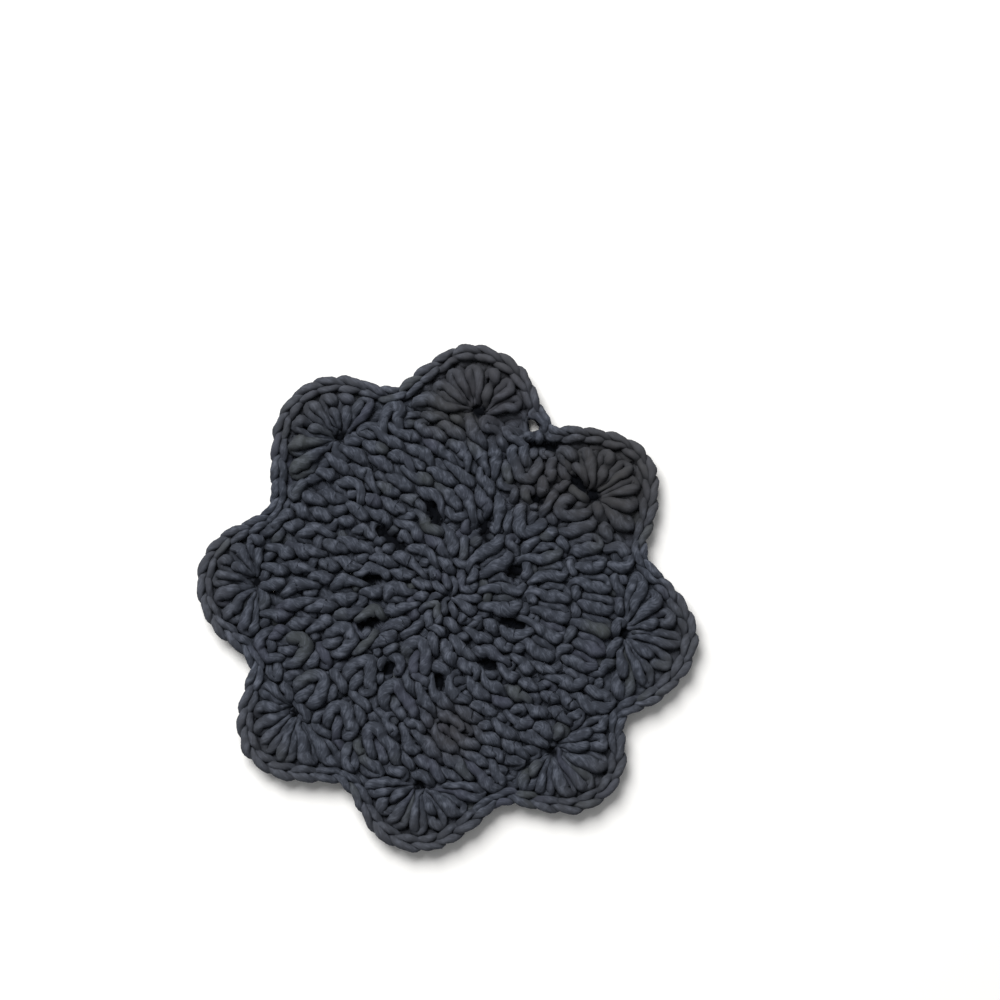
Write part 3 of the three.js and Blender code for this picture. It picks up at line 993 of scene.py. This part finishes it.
# %% [markdown]
# ## The yarn's finish
#
# Soft yarn, taken as cotton, dyed a blackish blue-grey and quite matte. Close up it shows fine
# fibres that run along the strand. From further away the dye drifts slowly along the yarn, and a
# few stretches came out browner or greener. The fibres are one shader group that gives a mask for
# the colour and a height for the bump.

# %% Fibre group
def fibre_group():
    group = bpy.data.node_groups.new("yarn_fibres", "ShaderNodeTree")
    face = group.interface
    face.new_socket("Place", in_out="INPUT", socket_type="NodeSocketVector")
    for name, value in [
        ("Fibre width", 0.17),
        ("Fibre length", 1.5),
        ("Streak width", 0.55),
        ("Streak length", 2.4),
        ("Drift length", 24.0),
    ]:
        face.new_socket(name, in_out="INPUT", socket_type="NodeSocketFloat").default_value = value
    for name in ("Fibres", "Streaks", "Drift"):
        face.new_socket(name, in_out="OUTPUT", socket_type="NodeSocketFloat")
    source, result = add(group, "NodeGroupInput"), add(group, "NodeGroupOutput")
    along, *across = add(group, "ShaderNodeSeparateXYZ", {0: source.outputs["Place"]}).outputs

    def over(value, size):
        feeds = {0: value, 1: source.outputs[size]}
        return add(group, "ShaderNodeMath", feeds, operation="DIVIDE").outputs[0]

    def noise(length, width, detail):
        feeds = {0: over(along, length)}
        if width:
            feeds.update({1: over(across[0], width), 2: over(across[1], width)})
        place = add(group, "ShaderNodeCombineXYZ", feeds).outputs[0]
        feeds = {"Vector": place, "Scale": 1.0, "Detail": detail}
        return add(group, "ShaderNodeTexNoise", feeds).outputs[0]

    for name, value in [
        ("Fibres", noise("Fibre length", "Fibre width", 1.0)),
        ("Streaks", noise("Streak length", "Streak width", 2.0)),
        ("Drift", noise("Drift length", None, 1.0)),
    ]:
        group.links.new(value, result.inputs[name])
    return group


# %% Yarn material
# Patches of another tone on the coaster, where the dye took differently.
PATCHES = table(("x", "y", "size", "colour", "amount"), [
    (36.0, 27.0, 19.0, (0.046, 0.044, 0.044), 0.75),
    (20.0, 25.0, 9.0, (0.045, 0.042, 0.042), 0.5),
    (1.0, -29.0, 8.0, (0.045, 0.041, 0.041), 0.5),
    (0.0, 41.0, 9.0, (0.058, 0.056, 0.047), 0.4),
    (9.0, 47.0, 15.0, (0.047, 0.045, 0.05), 0.65),
])
DARK = (0.030, 0.033, 0.042, 1.0)
MIDDLE = (0.046, 0.0525, 0.068, 1.0)
LIGHT = (0.124, 0.136, 0.170, 1.0)
OLIVE = (0.060, 0.066, 0.058, 1.0)
VIOLET = (0.055, 0.057, 0.082, 1.0)
# Each tone is mixed over the ones before: where on its mask it sets in and where it is full, and
# how much of it there is then.
STREAK_TONES = [(MIDDLE, 0.32, 0.54, 1.0), (LIGHT, 0.48, 0.72, 1.0)]
DRIFT_TONES = [(OLIVE, 0.58, 0.70, 0.55), (VIOLET, 0.42, 0.32, 0.45)]
RIM_TONE = (0.060, 0.061, 0.067, 1.0)
RIM_TONE_FROM_TO = (0.045, 0.052)  # m from the middle
RIM_TONE_AMOUNT = 0.5
# Painted shade: the near black mixed into the yarn's colour by its depth between the strands.
PAINTED_BLACK = (0.003, 0.0035, 0.005, 1.0)
PAINTED_BLACK_FROM = 0.02  # the depth at which the near black sets in
PATCH_CORE = 0.35  # share of a patch's size within which it has its full tone
PATCH_HEIGHT = 0.003  # m
CLOUD_SCALE = 620.0
STREAKS_AND_FIBRES = 0.62, 0.38  # their shares of the mask along the strand
STRAND_AND_CLOUDS = 0.55, 0.45
BUMP = 0.32
BUMP_HEIGHT = 0.22  # mm
FINISH = {
    "Roughness": 0.9,
    "Specular IOR Level": 0.04,
    "Sheen Weight": 0.02,
    "Sheen Roughness": 0.5,
    "Sheen Tint": (0.62, 0.68, 0.80, 1.0),
}
MIX_A, MIX_B, MIX_RESULT = 6, 7, 2  # the Mix node's colour sockets


def yarn_material():
    material = bpy.data.materials.new("charcoal_yarn")
    material.use_nodes = True
    tree = material.node_tree
    shader = tree.nodes["Principled BSDF"]
    place = add(tree, "ShaderNodeAttribute", attribute_name="strand_place").outputs["Vector"]
    # How much painted shade each point of the yarn gets, by its depth between the strands.
    sunk = add(tree, "ShaderNodeAttribute", attribute_name="sunk").outputs["Fac"]
    where = add(tree, "ShaderNodeTexCoord").outputs["Object"]
    fibres = add(tree, "ShaderNodeGroup", node_tree=fibre_group())
    tree.links.new(place, fibres.inputs["Place"])

    def span(value, low, high, top=1.0):
        feeds = {"Value": value, "From Min": low, "From Max": high, "To Max": top}
        return add(tree, "ShaderNodeMapRange", feeds).outputs["Result"]

    def plus(a, b, share_a, share_b):
        """Two masks weighed and added."""
        first = add(tree, "ShaderNodeMath", {0: a, 1: share_a}, operation="MULTIPLY").outputs[0]
        feeds = {0: b, 1: share_b, 2: first}
        return add(tree, "ShaderNodeMath", feeds, operation="MULTIPLY_ADD").outputs[0]

    def blend(factor, a, b):
        feeds = {0: factor, MIX_A: a, MIX_B: b}
        return add(tree, "ShaderNodeMix", feeds, data_type="RGBA").outputs[MIX_RESULT]

    # Light and dark streaks that follow the strand, and cloudier ones from lump to lump.
    clouds = add(tree, "ShaderNodeTexNoise",
                 {"Vector": where, "Scale": CLOUD_SCALE, "Detail": 2.0}).outputs[0]
    streaks = plus(fibres.outputs["Streaks"], fibres.outputs["Fibres"], *STREAKS_AND_FIBRES)
    mask = plus(streaks, clouds, *STRAND_AND_CLOUDS)
    tone = DARK
    for value, tones in ((mask, STREAK_TONES), (fibres.outputs["Drift"], DRIFT_TONES)):
        for colour, *reach in tones:
            tone = blend(span(value, *reach), tone, colour)
    for patch in PATCHES:
        size, centre = patch["size"] * MM, (patch["x"] * MM, patch["y"] * MM, PATCH_HEIGHT)
        away = add(tree, "ShaderNodeVectorMath", {0: where, 1: centre}, operation="DISTANCE")
        near = span(away.outputs["Value"], size, PATCH_CORE * size, patch["amount"])
        tone = blend(near, tone, (*patch["colour"], 1.0))
    # Towards the rim the yarn looks a little less blue.
    away = add(tree, "ShaderNodeVectorMath", {0: where}, operation="LENGTH").outputs["Value"]
    tone = blend(span(away, *RIM_TONE_FROM_TO, RIM_TONE_AMOUNT), tone, RIM_TONE)
    # Painted shade: near black mixed in by depth, on top of the light's own shadow; gaps and pits
    # black.
    tone = blend(span(sunk, PAINTED_BLACK_FROM, 1.0), tone, PAINTED_BLACK)
    tree.links.new(tone, shader.inputs["Base Color"])
    for name, value in FINISH.items():
        shader.inputs[name].default_value = value
    bump = add(tree, "ShaderNodeBump",
               {"Strength": BUMP, "Distance": BUMP_HEIGHT * MM, "Height": mask})
    tree.links.new(bump.outputs[0], shader.inputs["Normal"])
    return material


charcoal_yarn = yarn_material()
print("yarn material:", len(charcoal_yarn.node_tree.nodes), "nodes")

# %% Sweep every round
TWIST = 13.0  # mm of yarn for one full turn of its plies


def spun(name, line, radii):
    """The plain mesh of one round's yarn, from its line and radii in mm."""
    size = len(line)
    mesh = bpy.data.meshes.new(name + "_line")
    edges = [(i, (i + 1) % size) for i in range(size)]
    mesh.from_pydata([tuple(p) for p in line * MM], edges, [])
    turns = round(size * STEP / TWIST)
    for key, values in [
        ("yarn_radius", radii * MM),
        ("twist", np.arange(size) / size * turns * math.tau),
        ("along", np.arange(size) * STEP),
    ]:
        mesh.attributes.new(key, "FLOAT", "POINT").data.foreach_set("value", values)
    guide = placed(name + "_line", mesh)
    modifier = guide.modifiers.new("spin", "NODES")
    modifier.node_group = spun_yarn
    modifier[socket_of(spun_yarn, "Material")] = charcoal_yarn
    evaluated = guide.evaluated_get(bpy.context.evaluated_depsgraph_get())
    made = bpy.data.meshes.new_from_object(evaluated)
    guide.modifiers.remove(modifier)
    bpy.data.objects.remove(guide)
    made.name = name
    return placed(name, made)


def vertices_of(mesh):
    places = np.empty(3 * len(mesh.vertices))
    mesh.vertices.foreach_get("co", places)
    return places.reshape(-1, 3)


def enclosed(mesh):
    """The volume that a closed mesh encloses, in cubic mm: negative if its faces point inwards."""
    mesh.calc_loop_triangles()
    corners = np.empty(3 * len(mesh.loop_triangles), int)
    mesh.loop_triangles.foreach_get("vertices", corners)
    a, b, c = vertices_of(mesh)[corners.reshape(-1, 3)].transpose(1, 0, 2)
    return float((a * np.cross(b, c)).sum() / 6) / MM**3


pieces, at = {}, 0
for name, size in zip(names, sizes):
    pieces[name] = spun(name, points[at : at + size], radius[at : at + size])
    volume = enclosed(pieces[name].data)
    if volume < 0:
        pieces[name].data.flip_normals()
    print(f"{name}: {len(pieces[name].data.loop_triangles)} triangles, {abs(volume):.0f} mm3,",
          "materials", [m.name for m in pieces[name].data.materials])
    at += size

# %% [markdown]
# ## Painted shade by the depth between the strands
#
# Every point of the yarn keeps how deep it lies below the worked face, and a near black is painted
# into the yarn's colour by it: painted shade, on top of the shadow that the light makes. The gaps
# and pits get the full depth and are painted black, and all else stays well short of it. On a scale
# to 255 the darkest twentieth of the front view's middle ends at 23 without this and at 16 with it.
# The photograph has 21, so it overshoots.

# %% Paint shade by what lies deep
CELL = 0.5  # mm
THICK = 5.0  # mm; the underside's heights are counted down from here
BORDER = 1.0  # mm inside the outline where the worked face ends
CLOSING = 3  # cells by which the crevices are closed first
MAP_SOFTENING = 9
SUNK_DEPTH = 2.9  # mm below the worked face for a depth of 1
# Painted shade also darkens a strand's flanks, from this height above the softened face down.
FLANK = 0.1  # mm above the softened face where a strand's flanks start to darken
# Round a gap or pit, between the next two heights, the yarn is painted black as shade.
PIT_MARGIN = 0.35  # mm round a gap or pit that is still black, between these two heights
BLACK_FROM = 1.0
BLACK_TO = 3.3
# The most painted shade between strands; only the gaps and pits get more.
DARKEST = 0.28  # between strands; only the gaps and pits are darker


def surface_map(places, highest):
    """The worked face's height over a grid of cells, or its underside's, without its crevices."""
    cells = int(2 * HALF_MAP / CELL)
    column = np.clip(((places[:, :2] + HALF_MAP) / CELL).astype(int), 0, cells - 1)
    grid = np.zeros((cells, cells))
    height = places[:, 2] if highest else THICK - places[:, 2]
    np.maximum.at(grid, (column[:, 0], column[:, 1]), height)
    centres = (np.indices(grid.shape).transpose(1, 2, 0) + 0.5) * CELL - HALF_MAP
    inside = inside_outline(centres.reshape(-1, 2), BORDER).reshape(grid.shape)
    for _ in range(CLOSING):
        for axis in (0, 1):
            grid = np.maximum(grid, np.maximum(np.roll(grid, 1, axis), np.roll(grid, -1, axis)))
    grid = grid * inside
    for _ in range(MAP_SOFTENING):
        for axis in (0, 1):
            grid = (np.roll(grid, 1, axis) + 2 * grid + np.roll(grid, -1, axis)) / 4
    height = grid[column[:, 0], column[:, 1]]
    return height if highest else THICK - height


def mark_painted_shade(made):
    """Stores the painted shade of every vertex by its depth: 0 on top and 1 in a gap or pit."""
    meshes = [piece.data for piece in made]
    every = np.concatenate([vertices_of(mesh) for mesh in meshes]) / MM
    above = (surface_map(every, True) + FLANK - every[:, 2]) / SUNK_DEPTH
    below = (every[:, 2] - surface_map(every, False) + FLANK) / SUNK_DEPTH
    # Painted shade by depth below the worked face, on the flanks and on the underside.
    sunk = np.clip(np.minimum(above, below), 0, DARKEST)
    # The gaps and pits are painted black between two heights.
    black = (every[:, 2] > BLACK_FROM) & (every[:, 2] < BLACK_TO)
    sunk[in_a_gap(every, PIT_MARGIN) & black] = 1.0
    ends = np.cumsum([0] + [len(mesh.vertices) for mesh in meshes])
    for mesh, start, end in zip(meshes, ends, ends[1:]):
        mesh.attributes.new("sunk", "FLOAT", "POINT").data.foreach_set("value", sunk[start:end])
    return sunk


print("mean depth between the strands:", round(float(mark_painted_shade(pieces.values()).mean()), 2))

# %% [markdown]
# ## What the pieces are
#
# All six pieces stand for the one solid, move with the one body and take its yarn. The coaster
# is one flat piece of cloth.

# %% Attach the pieces to the body
for piece in pieces.values():
    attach(piece, "root")
    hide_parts("coaster")
